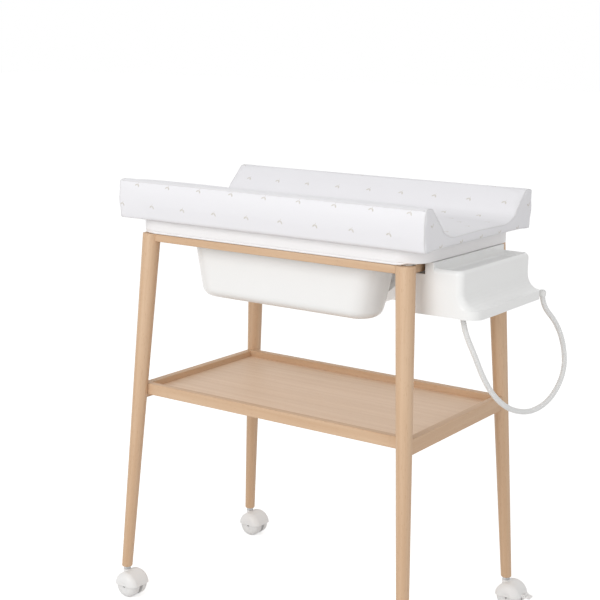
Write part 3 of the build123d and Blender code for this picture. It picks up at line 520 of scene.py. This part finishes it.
cover_finish, cover_start = new_finish("cover_print")
cover_place = cover_start.node("TexCoord", {}, {}, "Object")
cover_skin = cover_place.noise(cover_skin_scale, 2.0)
cover_soft = cover_place.noise(cover_soft_scale, 3.0)
worn = cover_place.noise(print_wear_scale) * print_wear + print_least
sprigs = sprig_print(cover_start) * worn
cover_base = cover_soft.mixed(shade(cover_colour, cover_soft_shade), cover_colour)
surface(cover_start, {
    "Base Color": sprigs.mixed(cover_base, sprig_colour),
    "Roughness": (cover_soft - 0.5) * 0.1 + 0.46,
    "Normal": cover_start.node("Bump", {}, {"Strength": 0.16, "Distance": skin_depth,
                                            "Height": cover_skin})})


def padded_form():
    """The mat's solid, remeshed and blown up a little as cloth over its foam."""
    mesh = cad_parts["changing_mat"].data.copy()
    form = bmesh.new()
    form.from_mesh(mesh)
    bmesh.ops.remove_doubles(form, verts=form.verts, dist=mat_merge)
    middle = Vector(((mat_left + mat_right) / 2, 0.0, mat_low))
    bmesh.ops.scale(form, verts=form.verts, vec=mat_start_size,
                    space=Matrix.Translation(-middle))
    form.to_mesh(mesh)
    form.free()
    blank = bpy.data.objects.new("mat_blank", mesh)
    scene.collection.objects.link(blank)
    remesh = blank.modifiers.new("even", "REMESH")
    remesh.mode = "VOXEL"
    remesh.voxel_size = mat_voxel
    even = bpy.data.meshes.new_from_object(
        blank.evaluated_get(bpy.context.evaluated_depsgraph_get()))
    bpy.data.objects.remove(blank)
    pad = bpy.data.objects.new("mat_cloth", even)
    scene.collection.objects.link(pad)
    before = np.empty(len(even.vertices) * 3)
    even.vertices.foreach_get("co", before)
    cloth = pad.modifiers.new("cover", "CLOTH")
    cloth.settings.quality = 5
    cloth.settings.use_pressure = True
    cloth.settings.uniform_pressure_force = mat_pressure
    cloth.settings.effector_weights.gravity = 0.0
    cloth.point_cache.frame_end = mat_frames
    for number in range(1, mat_frames + 1):
        scene.frame_set(number)
    blown = bpy.data.meshes.new_from_object(
        pad.evaluated_get(bpy.context.evaluated_depsgraph_get()))
    scene.frame_set(1)
    after = np.empty(len(blown.vertices) * 3)
    blown.vertices.foreach_get("co", after)
    move = (after - before).reshape(-1, 3)
    reach = np.linalg.norm(move, axis=1, keepdims=True)
    move *= np.minimum(1.0, mat_swell / np.maximum(reach, least_length))
    blown.vertices.foreach_set("co", (before.reshape(-1, 3) + move).ravel())
    bpy.data.objects.remove(pad)
    return blown


mat_form = bmesh.new()
mat_form.from_mesh(padded_form())
bmesh.ops.subdivide_edges(mat_form, edges=mat_form.edges, cuts=1, use_grid_fill=True,
                          smooth=0.5)
bmesh.ops.smooth_vert(mat_form, verts=mat_form.verts, factor=0.5, use_axis_x=True,
                      use_axis_y=True, use_axis_z=True)
for vert in mat_form.verts:
    vert.co.x = min(max(vert.co.x, mat_left), mat_right)
    vert.co.y = min(max(vert.co.y, -mat_half - mat_bulge), mat_half + mat_bulge)
    vert.co.z = max(vert.co.z, mat_low)
cover_layer = mat_form.loops.layers.uv.new("cover")
outline = section_loop(mat_print_step)
outline_yz = np.array([(place.y, place.z) for place in outline])
reach_round = np.concatenate(([0.0], np.cumsum(np.linalg.norm(np.diff(outline_yz, axis=0),
                                                              axis=1))))
mat_form.verts.ensure_lookup_table()
vert_yz = np.array([(vert.co.y, vert.co.z) for vert in mat_form.verts])
nearest = np.empty(len(vert_yz), dtype=int)
for start_at in range(0, len(vert_yz), mat_block):
    block = vert_yz[start_at:start_at + mat_block]
    gaps = ((block[:, None, :] - outline_yz[None, :, :]) ** 2).sum(axis=2)
    nearest[start_at:start_at + mat_block] = gaps.argmin(axis=1)
ahead = outline_yz[np.minimum(nearest + 1, len(outline_yz) - 1)]
behind = outline_yz[np.maximum(nearest - 1, 0)]
heading = ahead - behind
heading /= np.maximum(np.linalg.norm(heading, axis=1, keepdims=True), least_length)
round_reach = reach_round[nearest] + ((vert_yz - outline_yz[nearest]) * heading).sum(axis=1)
for face in mat_form.faces:
    at_end = abs(face.normal.x) > mat_end_slope
    for loop in face.loops:
        place = loop.vert.co
        if at_end:
            loop[cover_layer].uv = (place.y + print_end_shift, place.z)
        else:
            loop[cover_layer].uv = (place.x + print_shift, round_reach[loop.vert.index])
mat = finished("padded_mat", mat_form, cover_finish, "lid", 180.0)
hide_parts("changing_mat")

# Welts of the cover: a thin cord of the same cloth sewn round each end piece
# and along the upper outer edges.
welt_radius = 0.0011
welt_sink = 0.0008
welt_step = 0.006
welt_inset = 0.0035
welt_edge_y, welt_edge_z = 0.2425, 0.9985
welt_sides = 8
mat_tree = BVHTree.FromPolygons([vert.co for vert in mat.data.vertices],
                                [tuple(face.vertices) for face in mat.data.polygons])


def on_mat(places):
    """The places moved onto the cover, with the welt just sunk in it."""
    seated = []
    for place in places:
        spot, normal, _, _ = mat_tree.find_nearest(place)
        seated.append(spot + normal * (welt_radius - welt_sink))
    return seated


welt_finish = moulded("welt_white", paint(233, 232, 233), rough=0.5, grain=1500.0)
for end, x in (("left", mat_left + welt_inset), ("right", mat_right - welt_inset)):
    path = on_mat([Vector((x, place.y, place.z)) for place in section_loop(welt_step)[:-1]])
    rings = [(index, welt_radius) for index in range(len(path))]
    finished("welt_" + end, tube_along(path, rings, welt_sides, closed=True), welt_finish,
             "lid", 180.0)
for end, depth in (("front", -1), ("rear", 1)):
    high_edge = Vector((0.0, depth * welt_edge_y, welt_edge_z))
    path = on_mat(even_path([high_edge + Vector((mat_left + 2 * welt_inset, 0, 0)),
                             high_edge + Vector((mat_right - 2 * welt_inset, 0, 0))], welt_step))
    rings = [(index, welt_radius) for index in range(len(path))]
    finished("welt_" + end, tube_along(path, rings, welt_sides), welt_finish,
             "lid", 180.0)

# Casters: white twin wheels with a soft tread under a ball hood, on a steel
# stem pressed up into the leg. The right-hand ones have a brake pedal.
hood_finish = moulded("caster_white", paint(246, 245, 244), rough=0.38)
tread_finish = moulded("caster_tread", paint(240, 239, 238), rough=0.6, grain=1600.0)
for corner in corners:
    dress(hood_finish, "caster_hood_" + corner)
    dress(tread_finish, "caster_wheels_" + corner)
    dress(steel_finish, "caster_stem_" + corner, "caster_axle_" + corner)
for corner in ("front_right", "rear_right"):
    dress(hood_finish, "brake_lever_" + corner)
    dress(steel_finish, "brake_pin_" + corner)

# Floor and light: a wide white floor that the camera sees as white except in
# the table's own shadow, a large soft lamp at the front, a weaker one at the
# right and an even sky.
floor_half = 30.0
floor_white = 0.8
floor_glow = 0.58
floor_form = bmesh.new()
bmesh.ops.create_grid(floor_form, x_segments=1, y_segments=1, size=floor_half)
floor_mesh = bpy.data.meshes.new("floor")
floor_form.to_mesh(floor_mesh)
floor_form.free()
floor = bpy.data.objects.new("floor", floor_mesh)
scene.collection.objects.link(floor)
floor_finish, floor_start = new_finish("floor_white")
ray = {name: floor_start.node("LightPath", {}, {}, name)
       for name in ("Is Camera Ray", "Is Glossy Ray", "Is Transmission Ray")}
seen = (ray["Is Camera Ray"] + ray["Is Glossy Ray"] + ray["Is Transmission Ray"]).clamped()
matt = floor_start.node("BsdfDiffuse", {}, {"Color": (floor_white,) * 3 + (1.0,)})
glow = floor_start.node("Emission", {}, {"Color": (1.0, 1.0, 1.0, 1.0), "Strength": floor_glow})
both = floor_start.node("AddShader", {}, {0: matt, 1: glow})
floor_start.node("OutputMaterial", {}, {
    "Surface": floor_start.node("MixShader", {}, {0: seen, 1: matt, 2: both})})
floor_mesh.materials.append(floor_finish)

sky_strength = 0.61
world = bpy.data.worlds.new("sky")
world.use_nodes = True
world.node_tree.nodes.clear()
sky = Value(world.node_tree)
sky_seen = (sky.node("LightPath", {}, {}, "Is Camera Ray")
            + sky.node("LightPath", {}, {}, "Is Glossy Ray")
            + sky.node("LightPath", {}, {}, "Is Transmission Ray")).clamped()
sky_light = sky.node("Background", {}, {"Color": (1.0, 1.0, 1.0, 1.0),
                                        "Strength": sky_seen * (1.0 - sky_strength) + sky_strength})
sky.node("OutputWorld", {}, {"Surface": sky_light})
scene.world = world

lamp_aim = Vector((0, 0, 0.55))
lamps = (
    ("key", (-0.35, -3.75, 2.6), 2.4, 66.0),
    ("fill", (3.4, -1.4, 1.9), 2.0, 13.0),
)
for name, place, size, power in lamps:
    lamp_data = bpy.data.lights.new(name, "AREA")
    lamp_data.size = size
    lamp_data.energy = power
    lamp = bpy.data.objects.new(name, lamp_data)
    scene.collection.objects.link(lamp)
    lamp.location = place
    lamp.rotation_euler = (lamp_aim - lamp.location).to_track_quat("-Z", "Y").to_euler()
